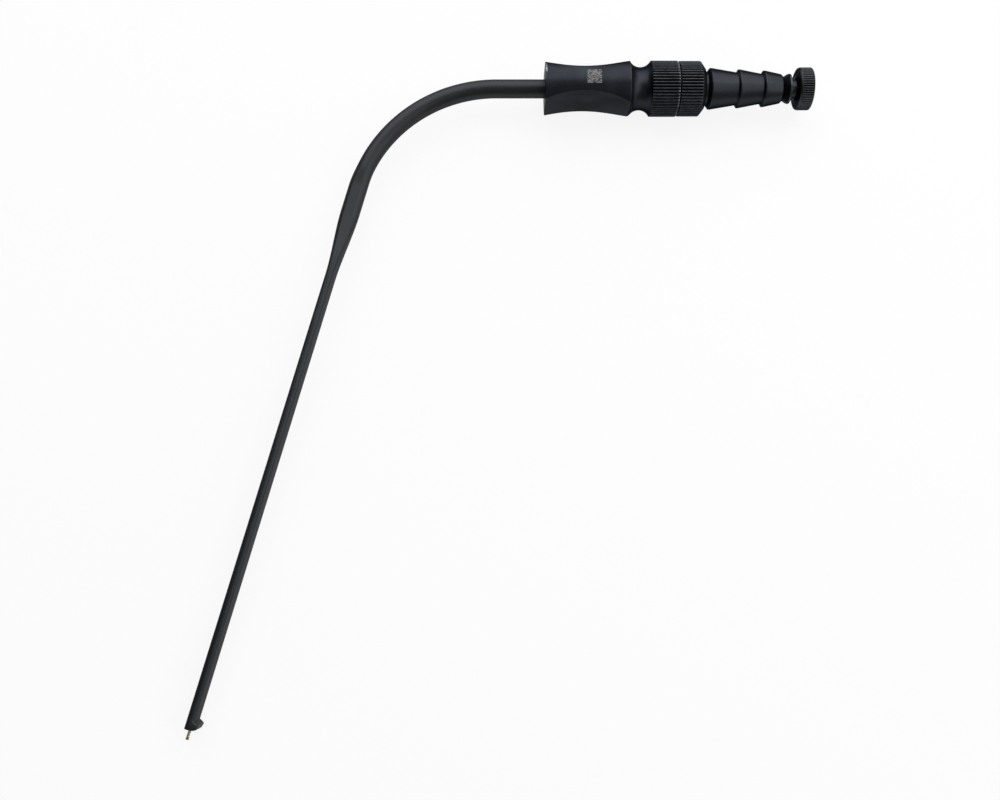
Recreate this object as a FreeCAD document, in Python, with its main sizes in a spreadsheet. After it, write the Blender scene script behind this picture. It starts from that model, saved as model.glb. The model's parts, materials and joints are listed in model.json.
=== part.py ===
"""Suction retractor: a bent, flattened suction tube in a scalloped grip, with a hose nozzle and a stylet.

The pieces are drawn in the instrument's own axes: x runs along the handle from the tube side to the
stylet knob, y lies in the plane of the bend and points away from the tip, z is square to that plane, and
the origin is the centre of the grip's tube-side face. The last step lays the instrument on its side, on the
handle and the tip of the blade, with +Z up and the origin at the middle of the base.
"""

import FreeCAD, Part
import math
import os

import Sketcher
from FreeCAD import Placement, Rotation, Vector

SHEET = "sizes"
ROUND_FLAT = 0.04
ROUNDED = 0.3
BEND_STEPS = 10
PINCH_STEP = 8
TAPER_STEPS = 5
CABLE_STEPS = 8
NECK_STEPS = 6
X_AXIS = Vector(1, 0, 0)
Z_AXIS = Vector(0, 0, 1)

# Driving sizes in millimetres, degrees or counts. Each line is a cell of the sheet.
SIZES = {
    "grip_radius": 7.35,
    "grip_length": 23.0,
    "grip_edge": 0.25,
    "scallop_radius": 30.0,
    "scallop_waist": 3.51,
    "scallop_place": 10.6,
    "neck_length": 5.75,
    "neck_radius": 5.66,
    "neck_curve": 3.29,
    "ring_length": 7.3,
    "knurl_teeth": 55,
    "knurl_depth": 0.36,
    "knurl_half_width": 0.36,
    "seam_width": 0.3,
    "seam_radius": 6.4,
    "nozzle_ring_length": 7.05,
    "nozzle_ring_radius": 7.27,
    "nozzle_ring_bevel": 1.3,
    "nozzle_bevel_drop": 1.7,
    "nozzle_neck_length": 0.7,
    "nozzle_neck_radius": 4.4,
    "barb_one_radius": 5.47,
    "barb_two_radius": 5.1,
    "barb_three_radius": 4.8,
    "barb_pitch_one": 7.75,
    "barb_pitch_two": 6.85,
    "nose_length": 5.22,
    "barb_one_back": 0.85,
    "barb_back": 0.4,
    "barb_land": 0.35,
    "barb_drop": 1.15,
    "nozzle_lip_radius": 3.88,
    "nozzle_lip_length": 0.5,
    "socket_radius": 4.5,
    "socket_depth": 6.0,
    "spigot_clearance": 0.03,
    "seal_thickness": 0.7,
    "seal_hole_radius": 2.4,
    "passage_radius": 2.0,
    "plug_bore_radius": 2.5,
    "plug_bore_depth": 20.0,
    "plug_clearance": 0.05,
    "plug_length": 19.4,
    "plug_nose": 0.5,
    "seal_groove_place": 3.2,
    "seal_groove_width": 1.3,
    "ring_seal_section": 0.6,
    "ring_seal_clearance": 0.02,
    "washer_thickness": 1.5,
    "washer_radius": 3.9,
    "washer_bevel": 0.75,
    "washer_bevel_drop": 0.45,
    "disc_thickness": 0.5,
    "disc_radius": 3.75,
    "hub_length": 1.45,
    "hub_radius": 2.4,
    "knob_radius": 5.63,
    "knob_length": 3.5,
    "knob_shoulder": 1.3,
    "boss_radius": 3.6,
    "boss_length": 0.4,
    "knob_teeth": 57,
    "knob_knurl_depth": 0.26,
    "knob_knurl_half_width": 0.27,
    "crimp_depth": 5.0,
    "cable_radius": 0.33,
    "cable_clearance": 0.05,
    "tube_radius": 2.5,
    "tube_wall": 0.3,
    "tube_seat": 14.0,
    "solder_gap": 0.02,
    "tube_lead": 13.15,
    "bend_radius": 38.6,
    "bend_angle": 74.7,
    "pinch_share": 0.875,
    "pinch_width": 4.5,
    "pinch_depth": 5.3,
    "pinch_corner": 2.2,
    "oval_width": 4.93,
    "oval_depth": 4.3,
    "oval_corner": 1.7,
    "oval_length": 6.9,
    "taper_length": 19.0,
    "blade_width": 2.0,
    "blade_depth": 6.06,
    "blade_corner": 0.96,
    "leg_length": 145.0,
    "foot_length": 2.2,
    "foot_reach": 1.3,
    "foot_depth": 5.4,
    "foot_round": 0.3,
    "tip_cable_length": 30.0,
    "tip_cable_reach": 2.8,
}


def make_sheet(doc):
    """Write the driving sizes into a spreadsheet, one aliased cell each."""
    sheet = doc.addObject("Spreadsheet::Sheet", SHEET)
    for row, (name, value) in enumerate(SIZES.items(), start=1):
        sheet.set(f"A{row}", name)
        sheet.set(f"B{row}", str(value))
        sheet.setAlias(f"B{row}", name)
    doc.recompute()
    return sheet


def cell(name):
    """Name a cell the way an expression reads it."""
    return f"{SHEET}.{name}"


def total(*terms):
    """Add cells into one expression."""
    return " + ".join(cell(term) for term in terms)


# Stations along the handle, each an expression over the sheet.
RING_START = total("grip_length", "neck_length")
RING_END = total("grip_length", "neck_length", "ring_length")
NOZZLE_RING_START = f"{RING_END} + {cell('seam_width')}"
NOZZLE_RING_END = f"{NOZZLE_RING_START} + {cell('nozzle_ring_length')}"
BARB_ONE = f"{NOZZLE_RING_END} + {cell('nozzle_neck_length')} + {cell('barb_one_back')}"
BARB_TWO = f"{BARB_ONE} + {cell('barb_pitch_one')}"
BARB_THREE = f"{BARB_TWO} + {cell('barb_pitch_two')}"
NOZZLE_END = f"{BARB_THREE} + {cell('nose_length')}"
SOCKET_FLOOR = f"{RING_END} - {cell('socket_depth')}"
DISC_START = f"{NOZZLE_END} + {cell('washer_thickness')}"
DISC_END = f"{DISC_START} + {cell('disc_thickness')}"
BOSS_START = f"{DISC_END} + {cell('hub_length')}"
KNOB_START = f"{BOSS_START} + {cell('boss_length')}"
KNOB_END = f"{KNOB_START} + {cell('knob_length')}"
PLUG_END = f"{NOZZLE_END} - {cell('plug_length')}"
GROOVE_START = f"{NOZZLE_END} - {cell('seal_groove_place')}"
GROOVE_END = f"{GROOVE_START} + {cell('seal_groove_width')}"
PLUG_RADIUS = f"{cell('plug_bore_radius')} - {cell('plug_clearance')}"
SPIGOT_RADIUS = f"{cell('socket_radius')} - {cell('spigot_clearance')}"
SEAL_SECTION = cell("ring_seal_section")
SEAL_MIDDLE = f"{cell('plug_bore_radius')} - {cell('ring_seal_clearance')} - {SEAL_SECTION}"


def origin_plane(body, role):
    """Find one of a body's own origin planes or axes by its role."""
    return next(item for item in body.Origin.OriginFeatures if item.Role == role)


def sketch_on(body, name, role):
    """Attach an empty sketch to one of the body's origin planes."""
    sketch = body.newObject("Sketcher::SketchObject", name)
    sketch.AttachmentSupport = [(origin_plane(body, role), "")]
    sketch.MapMode = "FlatFace"
    return sketch


def evaluate(doc, expression):
    """Read an expression's present value."""
    return float(doc.getObject(SHEET).evalExpression(expression))


def draw_outline(doc, sketch, corners):
    """Draw a closed outline through corners given as pairs of expressions, and bind each corner to them."""
    places = [Vector(evaluate(doc, across), evaluate(doc, up), 0) for across, up in corners]
    for start, end in zip(places, places[1:] + places[:1]):
        sketch.addGeometry(Part.LineSegment(start, end), False)
    count = len(places)
    for index in range(count):
        sketch.addConstraint(Sketcher.Constraint("Coincident", index, 2, (index + 1) % count, 1))
    for index, (across, up) in enumerate(corners):
        for kind, text, value in (("X", across, places[index].x), ("Y", up, places[index].y)):
            number = sketch.addConstraint(
                Sketcher.Constraint(f"Distance{kind}", -1, 1, index, 1, value))
            sketch.renameConstraint(number, f"corner_{index}_{kind.lower()}")
            sketch.setExpression(f"Constraints.corner_{index}_{kind.lower()}", text)


def draw_circle(doc, sketch, across, up, radius):
    """Draw a circle whose centre and radius are bound to expressions."""
    centre = Vector(evaluate(doc, across), evaluate(doc, up), 0)
    index = sketch.addGeometry(Part.Circle(centre, Z_AXIS, evaluate(doc, radius)), False)
    for name, constraint, text in (
        ("radius", Sketcher.Constraint("Radius", index, evaluate(doc, radius)), radius),
        ("across", Sketcher.Constraint("DistanceX", -1, 1, index, 3, centre.x), across),
        ("up", Sketcher.Constraint("DistanceY", -1, 1, index, 3, centre.y), up),
    ):
        number = sketch.addConstraint(constraint)
        sketch.renameConstraint(number, f"circle_{index}_{name}")
        sketch.setExpression(f"Constraints.circle_{index}_{name}", text)


def turn(doc, body, name, corners):
    """Revolve an outline given along and out from the handle axis into a turned solid."""
    sketch = sketch_on(body, f"{name}_outline", "XY_Plane")
    draw_outline(doc, sketch, corners)
    revolution = body.newObject("PartDesign::Revolution", name)
    revolution.Profile = sketch
    revolution.ReferenceAxis = (sketch, ["H_Axis"])
    revolution.Angle = 360
    doc.recompute()
    return revolution


def knurl(doc, body, name, start, length, radius, depth, half_width, teeth):
    """Cut straight V grooves round a turned ring: one pocket, patterned about the handle axis."""
    sketch = sketch_on(body, f"{name}_groove_outline", "YZ_Plane")
    sketch.setExpression("AttachmentOffset.Base.z", start)
    outside = f"{radius} + {depth}"
    draw_outline(doc, sketch, [
        (f"-2 * {half_width}", outside),
        ("0", f"{radius} - {depth}"),
        (f"2 * {half_width}", outside),
    ])
    doc.recompute()
    groove = body.newObject("PartDesign::Pocket", f"{name}_groove")
    groove.Profile = sketch
    groove.Reversed = True
    groove.setExpression("Length", length)
    doc.recompute()
    pattern = body.newObject("PartDesign::PolarPattern", name)
    pattern.Originals = [groove]
    pattern.Axis = (origin_plane(body, "X_Axis"), [""])
    pattern.Angle = 360
    pattern.setExpression("Occurrences", teeth)
    body.Tip = pattern
    doc.recompute()


def new_body(doc, name):
    """Start a part design body whose label names its file."""
    body = doc.addObject("PartDesign::Body", name)
    body.Label = name
    return body


def neck_corners():
    """The neck's round groove as corners along its arc, from the barrel to the knurled ring."""
    middle = f"({cell('grip_length')} + {cell('neck_length')} / 2)"
    centre = f"({total('neck_radius', 'neck_curve')})"
    half = f"acos(({centre} - {cell('grip_radius')}) / {cell('neck_curve')})"
    corners = []
    for step in range(NECK_STEPS + 1):
        turned = f"({2 * step / NECK_STEPS - 1} * {half})"
        corners.append((
            f"{middle} + {cell('neck_curve')} * sin({turned})",
            f"{centre} - {cell('neck_curve')} * cos({turned})",
        ))
    return corners


def make_grip(doc):
    """The turned grip: scalloped barrel, round neck groove, knurled ring, tube seat and coupling socket."""
    body = new_body(doc, "grip_body")
    barrel = cell("grip_radius")
    edge = cell("grip_edge")
    seat = f"{cell('tube_radius')} + {cell('solder_gap')}"
    turn(doc, body, "grip_turning", [
        ("0", seat),
        ("0", f"{barrel} - {edge}"),
        (edge, barrel),
        *neck_corners(),
        (RING_END, barrel),
        (RING_END, cell("socket_radius")),
        (SOCKET_FLOOR, cell("socket_radius")),
        (SOCKET_FLOOR, cell("passage_radius")),
        (cell("tube_seat"), cell("passage_radius")),
        (cell("tube_seat"), seat),
    ])

    scallops = sketch_on(body, "scallop_outline", "XY_Plane")
    for side in ("", "-1 * "):
        draw_circle(
            doc, scallops, cell("scallop_place"),
            f"{side}({total('scallop_waist', 'scallop_radius')})", cell("scallop_radius"))
    scallop_cut = body.newObject("PartDesign::Pocket", "scallops")
    scallop_cut.Profile = scallops
    scallop_cut.Midplane = True
    scallop_cut.setExpression("Length", f"4 * {barrel}")
    doc.recompute()

    knurl(
        doc, body, "grip_knurl", RING_START, cell("ring_length"), barrel, cell("knurl_depth"),
        cell("knurl_half_width"), cell("knurl_teeth"))
    return body


def make_nozzle(doc):
    """The hose nozzle: a knurled ring, three barbs, a plug bore and the spigot that screws into the grip."""
    body = new_body(doc, "hose_nozzle")
    ring = cell("nozzle_ring_radius")
    corners = [
        (f"{SOCKET_FLOOR} + {cell('seal_thickness')}", cell("passage_radius")),
        (f"{SOCKET_FLOOR} + {cell('seal_thickness')}", SPIGOT_RADIUS),
        (RING_END, SPIGOT_RADIUS),
        (RING_END, cell("seam_radius")),
        (NOZZLE_RING_START, cell("seam_radius")),
        (NOZZLE_RING_START, ring),
        (f"{NOZZLE_RING_END} - {cell('nozzle_ring_bevel')}", ring),
        (NOZZLE_RING_END, f"{ring} - {cell('nozzle_bevel_drop')}"),
        (NOZZLE_RING_END, cell("nozzle_neck_radius")),
        (f"{BARB_ONE} - {cell('barb_one_back')}", cell("nozzle_neck_radius")),
    ]
    for place, crest, following in ((BARB_ONE, "barb_one_radius", BARB_TWO),
                                    (BARB_TWO, "barb_two_radius", BARB_THREE)):
        corners += [
            (place, cell(crest)),
            (f"{place} + {cell('barb_land')}", cell(crest)),
            (f"{following} - {cell('barb_back')}", f"{cell(crest)} - {cell('barb_drop')}"),
        ]
    corners += [
        (BARB_THREE, cell("barb_three_radius")),
        (f"{BARB_THREE} + {cell('barb_land')}", cell("barb_three_radius")),
        (f"{NOZZLE_END} - {cell('nozzle_lip_length')}", cell("nozzle_lip_radius")),
        (NOZZLE_END, f"{cell('nozzle_lip_radius')} - {cell('nozzle_lip_length')}"),
        (NOZZLE_END, cell("plug_bore_radius")),
        (f"{NOZZLE_END} - {cell('plug_bore_depth')}", cell("plug_bore_radius")),
        (f"{NOZZLE_END} - {cell('plug_bore_depth')}", cell("passage_radius")),
    ]
    turn(doc, body, "nozzle_turning", corners)
    knurl(
        doc, body, "nozzle_knurl", NOZZLE_RING_START, cell("nozzle_ring_length"), ring, cell("knurl_depth"),
        cell("knurl_half_width"), cell("knurl_teeth"))
    return body


def make_knob(doc):
    """The stylet knob: plug, seal groove, stop disc, hub and knurled head, turned as one piece."""
    body = new_body(doc, "stylet_knob")
    head = cell("knob_radius")
    shoulder = cell("knob_shoulder")
    hole = f"{cell('cable_radius')} + {cell('cable_clearance')}"
    turn(doc, body, "knob_turning", [
        (PLUG_END, hole),
        (PLUG_END, f"{PLUG_RADIUS} - {cell('plug_nose')}"),
        (f"{PLUG_END} + {cell('plug_nose')}", PLUG_RADIUS),
        (GROOVE_START, PLUG_RADIUS),
        (GROOVE_START, f"{SEAL_MIDDLE} - {SEAL_SECTION}"),
        (GROOVE_END, f"{SEAL_MIDDLE} - {SEAL_SECTION}"),
        (GROOVE_END, PLUG_RADIUS),
        (DISC_START, PLUG_RADIUS),
        (DISC_START, cell("disc_radius")),
        (DISC_END, cell("disc_radius")),
        (DISC_END, cell("hub_radius")),
        (BOSS_START, cell("hub_radius")),
        (BOSS_START, cell("boss_radius")),
        (KNOB_START, cell("boss_radius")),
        (KNOB_START, f"{head} - {shoulder}"),
        (f"{KNOB_START} + {ROUNDED} * {shoulder}", f"{head} - {ROUNDED} * {shoulder}"),
        (f"{KNOB_START} + {shoulder}", head),
        (KNOB_END, head),
        (KNOB_END, "0"),
        (f"{PLUG_END} + {cell('crimp_depth')}", "0"),
        (f"{PLUG_END} + {cell('crimp_depth')}", hole),
    ])
    knurl(
        doc, body, "knob_knurl", f"{KNOB_START} + {shoulder}", f"{cell('knob_length')} - {shoulder}", head,
        cell("knob_knurl_depth"), cell("knob_knurl_half_width"), cell("knob_teeth"))
    return body


def make_flat_ring(doc, name, start, thickness, outer, inner):
    """A flat sealing ring: one short cylinder with a round hole."""
    ring = doc.addObject("Part::Cut", name)
    ring.Label = name
    for role, radius in (("disc", outer), ("hole", inner)):
        round_bar = doc.addObject("Part::Cylinder", f"{name}_{role}")
        round_bar.Placement = Placement(Vector(), Rotation(Z_AXIS, X_AXIS))
        round_bar.setExpression("Placement.Base.x", start)
        round_bar.setExpression("Height", thickness)
        round_bar.setExpression("Radius", radius)
        setattr(ring, "Base" if role == "disc" else "Tool", round_bar)
    doc.recompute()
    return ring


def make_washer(doc):
    """The stop washer between the nozzle's mouth and the knob's disc, bevelled toward the nozzle."""
    body = new_body(doc, "stylet_washer")
    rim = cell("washer_radius")
    hole = f"{PLUG_RADIUS} + {cell('plug_clearance')}"
    turn(doc, body, "washer_turning", [
        (NOZZLE_END, hole),
        (NOZZLE_END, f"{rim} - {cell('washer_bevel_drop')}"),
        (f"{NOZZLE_END} + {cell('washer_bevel')}", rim),
        (DISC_START, rim),
        (DISC_START, hole),
    ])
    return body


def make_ring_seal(doc):
    """The rubber ring in the plug's groove, its round section drawn with eight sides."""
    body = new_body(doc, "stylet_ring_seal")
    middle = f"({GROOVE_START} + {cell('seal_groove_width')} / 2)"
    turn(doc, body, "ring_seal_turning", [
        (f"{middle} - {SEAL_SECTION} * cos({45 * step + 22.5})",
         f"({SEAL_MIDDLE}) + {SEAL_SECTION} * sin({45 * step + 22.5})")
        for step in range(8)
    ])
    return body


class Route:
    """The tube's centre line: straight into the grip, one arc, then the straight leg down to the tip."""

    def __init__(self, sheet):
        self.radius = sheet.bend_radius
        self.angle = math.radians(sheet.bend_angle)
        self.lead = sheet.tube_lead
        self.centre = Vector(-self.lead, -self.radius, 0)

    def on_arc(self, turned):
        """The point and the direction towards the inside of the bend, after so many radians of bend."""
        inward = Vector(math.sin(turned), -math.cos(turned), 0)
        return self.centre - inward * self.radius, inward

    def on_leg(self, distance):
        """The point and the inside direction at a distance down the leg from the end of the bend."""
        start, inward = self.on_arc(self.angle)
        return start + self.along * distance, inward

    @property
    def along(self):
        """The leg's direction, away from the handle."""
        return Vector(-math.cos(self.angle), -math.sin(self.angle), 0)


def section(place, inward, width, depth, corner):
    """A rounded rectangle square to the route: width towards the inside of the bend, depth along z."""
    half_width = width / 2
    half_depth = depth / 2
    flat_width = half_width - corner
    flat_depth = half_depth - corner
    edges = []
    for quarter in range(4):
        sign_width = (1, -1, -1, 1)[quarter]
        sign_depth = (1, 1, -1, -1)[quarter]
        middle = place + inward * (sign_width * flat_width) + Z_AXIS * (sign_depth * flat_depth)
        turn_from = quarter * math.pi / 2
        ends = []
        for share in (0.0, 0.5, 1.0):
            angle = turn_from + share * math.pi / 2
            ends.append(middle + inward * (corner * math.cos(angle)) + Z_AXIS * (corner * math.sin(angle)))
        edges.append(Part.Arc(*ends).toShape())
    loop = []
    for quarter, arc in enumerate(edges):
        following = edges[(quarter + 1) % 4]
        loop.append(arc)
        loop.append(Part.LineSegment(arc.Vertexes[-1].Point, following.Vertexes[0].Point).toShape())
    return Part.Wire(loop)


def eased(share):
    """A share from 0 to 1 that starts and ends gently."""
    return share * share * (3 - 2 * share)


def blend(first, last, share):
    """A section part of the way between two others."""
    return [start + (end - start) * share for start, end in zip(first, last)]


def tube_solid(sheet, inset, overrun):
    """The tube's body taken in by a wall; it runs past both ends by the overrun."""
    route = Route(sheet)

    def shrunk(width, depth, corner):
        return width - 2 * inset, depth - 2 * inset, corner - inset

    round_size = shrunk(2 * sheet.tube_radius, 2 * sheet.tube_radius, sheet.tube_radius - ROUND_FLAT / 2)
    pinch_size = shrunk(sheet.pinch_width, sheet.pinch_depth, sheet.pinch_corner)
    oval_size = shrunk(sheet.oval_width, sheet.oval_depth, sheet.oval_corner)
    blade_size = shrunk(sheet.blade_width, sheet.blade_depth, sheet.blade_corner)
    inward = Vector(0, -1, 0)
    seat_end = Vector(sheet.tube_seat + overrun, 0, 0)
    bend_start = Vector(-sheet.tube_lead, 0, 0)
    taper_start = sheet.oval_length
    taper_end = sheet.oval_length + sheet.taper_length

    bend = []
    for step in range(BEND_STEPS + 1):
        if step < PINCH_STEP:
            share = sheet.pinch_share * step / PINCH_STEP
            size = blend(round_size, pinch_size, eased(step / PINCH_STEP))
        else:
            past = (step - PINCH_STEP) / (BEND_STEPS - PINCH_STEP)
            share = sheet.pinch_share + (1 - sheet.pinch_share) * past
            size = blend(pinch_size, oval_size, eased(past))
        place, side = route.on_arc(route.angle * share)
        bend.append(section(place, side, *size))
    taper = []
    for step in range(TAPER_STEPS + 1):
        share = step / TAPER_STEPS
        place, side = route.on_leg(taper_start + (taper_end - taper_start) * share)
        taper.append(section(place, side, *blend(oval_size, blade_size, eased(share))))

    stretches = [
        Part.makeLoft([section(seat_end, inward, *round_size),
                       section(bend_start, inward, *round_size)], True, True),
        Part.makeLoft(bend, True, True),
        Part.makeLoft([section(*route.on_leg(0), *oval_size),
                       section(*route.on_leg(taper_start), *oval_size)], True, True),
        Part.makeLoft(taper, True, True),
        Part.makeLoft([section(*route.on_leg(taper_end), *blade_size),
                       section(*route.on_leg(sheet.leg_length + overrun), *blade_size)], True, True),
    ]
    return stretches[0].fuse(stretches[1:])


def foot_solid(sheet):
    """The small foot: the blade's inside edge turned out across the mouth, round at its rim."""
    route = Route(sheet)
    face = sheet.blade_width / 2
    rim = face + sheet.foot_reach
    rounding = sheet.foot_round
    start = sheet.leg_length - sheet.foot_length
    end = sheet.leg_length

    def at(distance, out):
        place, inward = route.on_leg(distance)
        return place + inward * out

    corner = rounding * (1 - math.sqrt(0.5))
    back = at(start + rounding, rim - rounding)
    crown_start = at(start + 2 * rounding, rim)
    crown_end = at(end - 2 * rounding, rim)
    front = at(end - rounding, rim - rounding)
    edges = [
        Part.LineSegment(at(start, 0), at(start, face)).toShape(),
        Part.LineSegment(at(start, face), back).toShape(),
        Part.Arc(back, at(start + rounding + corner, rim - corner), crown_start).toShape(),
        Part.LineSegment(crown_start, crown_end).toShape(),
        Part.Arc(crown_end, at(end - rounding - corner, rim - corner), front).toShape(),
        Part.LineSegment(front, at(end, 0)).toShape(),
        Part.LineSegment(at(end, 0), at(start, 0)).toShape(),
    ]
    bar = Part.Face(Part.Wire(edges)).extrude(Z_AXIS * sheet.foot_depth)
    bar.translate(Z_AXIS * (-sheet.foot_depth / 2))
    return bar


def make_tube(doc, sheet):
    """The suction tube: round in the grip, oval after the bend, then a flat blade with the foot."""
    outside = tube_solid(sheet, 0.0, 0.0)
    inside = tube_solid(sheet, sheet.tube_wall, 1.0)
    tube = doc.addObject("Part::Feature", "shaft_tube")
    tube.Label = "shaft_tube"
    tube.Shape = outside.fuse(foot_solid(sheet)).cut(inside).removeSplitter()
    return tube


def make_cables(doc, sheet, plug_end):
    """The stylet's cable along the tube's centre line, and its free end in the blade."""
    route = Route(sheet)
    radius = sheet.cable_radius
    split = sheet.leg_length - sheet.tip_cable_length
    start = Vector(plug_end + sheet.crimp_depth - sheet.cable_clearance, 0, 0)
    bend_start, _ = route.on_arc(0)
    bend_middle, _ = route.on_arc(route.angle / 2)
    bend_end, _ = route.on_arc(route.angle)
    split_place, _ = route.on_leg(split)
    path = Part.Wire([
        Part.LineSegment(start, bend_start).toShape(),
        Part.Arc(bend_start, bend_middle, bend_end).toShape(),
        Part.LineSegment(bend_end, split_place).toShape(),
    ])
    rounds = [Part.Wire([Part.Circle(start, X_AXIS, radius).toShape()])]
    for step in range(CABLE_STEPS + 1):
        place, inward = route.on_arc(route.angle * step / CABLE_STEPS)
        rounds.append(Part.Wire([Part.Circle(place, inward.cross(Z_AXIS), radius).toShape()]))
    rounds.append(Part.Wire([Part.Circle(split_place, -route.along, radius).toShape()]))
    cable = doc.addObject("Part::Feature", "stylet_cable")
    cable.Label = "stylet_cable"
    cable.Shape = Part.makeLoft(rounds, True, True)
    tip = doc.addObject("Part::Feature", "stylet_tip")
    tip.Label = "stylet_tip"
    tip.Shape = Part.makeCylinder(
        radius, sheet.tip_cable_length + sheet.tip_cable_reach, split_place, route.along)
    expected = math.pi * radius ** 2 * path.Length
    print(f"cable volume {cable.Shape.Volume:.3f}, section times length {expected:.3f}")
    return cable, tip


def lay_down(sheet, pieces):
    """Roll the instrument about its handle until the blade's tip touches the floor, and centre its base."""
    route = Route(sheet)
    tip, _ = route.on_leg(sheet.leg_length)
    edge_height = (sheet.blade_depth - sheet.blade_width) / 2
    roll = 0.0
    for _ in range(8):
        drop = sheet.grip_radius - edge_height * math.cos(roll) - sheet.blade_width / 2
        roll = math.asin(drop / -tip.y)
    rolled = Placement(Vector(0, 0, sheet.grip_radius), Rotation(X_AXIS, math.degrees(roll)))
    box = FreeCAD.BoundBox()
    for piece in pieces:
        shape = piece.Shape.copy()
        shape.Placement = rolled.multiply(shape.Placement)
        box.add(shape.optimalBoundingBox(False, False))
    centred = Placement(Vector(-box.Center.x, -box.Center.y, 0), Rotation())
    laid = centred.multiply(rolled)
    print(f"roll {math.degrees(roll):.3f} degrees, box {box.XLength:.2f} x {box.YLength:.2f} x {box.ZLength:.2f}")
    return laid


def place_piece(piece, laid):
    """Put a piece in its resting place, whatever its own placement was."""
    if piece.TypeId == "PartDesign::Body":
        piece.Placement = laid.multiply(piece.Placement)
        return piece.Shape
    shape = piece.Shape.copy()
    shape.Placement = laid.multiply(shape.Placement)
    return shape


def check(doc, pieces):
    """Stop if any object failed to recompute or any piece isn't one valid solid."""
    for item in doc.Objects:
        if "Invalid" in item.State or "Error" in item.State:
            raise RuntimeError(f"{item.Name} failed: {item.State}")
    for piece in pieces:
        shape = piece.Shape
        if shape.isNull() or not shape.isValid() or len(shape.Solids) != 1:
            raise RuntimeError(f"{piece.Label} is not one valid solid")


def main():
    """Build the document, check every piece, lay them down and write their files."""
    doc = FreeCAD.newDocument("suction_retractor")
    sheet = make_sheet(doc)
    pieces = [
        make_tube(doc, sheet),
        make_grip(doc),
        make_nozzle(doc),
        make_flat_ring(
            doc, "coupling_seal", SOCKET_FLOOR, cell("seal_thickness"), SPIGOT_RADIUS,
            cell("seal_hole_radius")),
        make_knob(doc),
        make_ring_seal(doc),
        make_washer(doc),
        *make_cables(doc, sheet, evaluate(doc, PLUG_END)),
    ]
    doc.recompute()
    check(doc, pieces)
    laid = lay_down(sheet, pieces)
    os.makedirs("parts", exist_ok=True)
    for piece in pieces:
        shape = place_piece(piece, laid)
        shape.exportStep(f"parts/{piece.Label}.step")
        print(f"{piece.Label}: {shape.Volume:.1f} mm3")


main()
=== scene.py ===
"""Looks of the suction retractor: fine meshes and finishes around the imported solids.

Every shape is drawn in the instrument's own axes, in millimetres: x runs along the handle from the tube to
the stylet knob, y lies in the plane of the bend and points away from the tip, z is square to that plane, and
the origin is the centre of the grip's tube-side face. Layout turns those points into the frame's metres.
"""

import json
import logging
import math
from dataclasses import dataclass, field
from enum import Enum

import bmesh
import bpy
import numpy as np
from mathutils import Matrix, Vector


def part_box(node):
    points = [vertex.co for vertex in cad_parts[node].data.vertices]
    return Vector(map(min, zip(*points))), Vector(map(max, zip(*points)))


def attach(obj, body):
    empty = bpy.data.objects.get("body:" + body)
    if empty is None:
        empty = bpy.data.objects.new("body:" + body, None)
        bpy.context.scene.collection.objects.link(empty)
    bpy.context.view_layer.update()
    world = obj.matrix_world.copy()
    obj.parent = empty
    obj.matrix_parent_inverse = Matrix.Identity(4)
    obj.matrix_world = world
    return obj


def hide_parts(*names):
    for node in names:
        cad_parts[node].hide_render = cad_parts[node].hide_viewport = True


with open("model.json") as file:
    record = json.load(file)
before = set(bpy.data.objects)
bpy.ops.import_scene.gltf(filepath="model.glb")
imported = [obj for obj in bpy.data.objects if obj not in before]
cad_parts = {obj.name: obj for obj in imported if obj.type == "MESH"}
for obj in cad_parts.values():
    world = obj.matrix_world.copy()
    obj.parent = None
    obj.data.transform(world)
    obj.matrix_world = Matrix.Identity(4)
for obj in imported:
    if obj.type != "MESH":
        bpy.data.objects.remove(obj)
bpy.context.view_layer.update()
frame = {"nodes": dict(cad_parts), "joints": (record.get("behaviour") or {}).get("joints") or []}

LOG = logging.getLogger("retractor")
MM = 0.001
# Per-point weight of worn-coat colour: real edge and crest wear, and painted highlight on the seam, the
# foot's lip and the grip's face edge.
WEAR_AND_GLINT_ATTRIBUTE = "edge_wear_and_glint"
TINT_ATTRIBUTE = "heat_tint"
CREST_WEAR = 2.6
CREST_SHARE = 0.06
CREST_SHOULDER = 0.12
MERGE_DISTANCE = 1e-7
FLAT_FACE = 1e-8
# The foot, seam and face-edge weights below lift worn-coat colour as painted highlight: partly real wear at
# the foot and seam, wholly painted at the face edge.
FOOT_WEAR_AND_GLINT = 4.0
SEAM_WEAR_AND_GLINT = 8.0
FACE_GLINT = 25.0
SHARP_ANGLE = math.radians(32)

Color = tuple[float, float, float]
Outline = list[tuple[float, float]]


class Body(Enum):
    """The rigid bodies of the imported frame."""

    INSTRUMENT = "instrument"
    STYLET = "stylet"
    STYLET_END = "stylet_end"


class Slot(Enum):
    """The record's material slots."""

    SHAFT = "shaft_coat"
    GRIP = "grip_coat"
    NOZZLE = "nozzle_coat"
    KNOB = "knob_coat"
    RUBBER = "seal_rubber"
    WIRE = "bare_wire"


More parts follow.
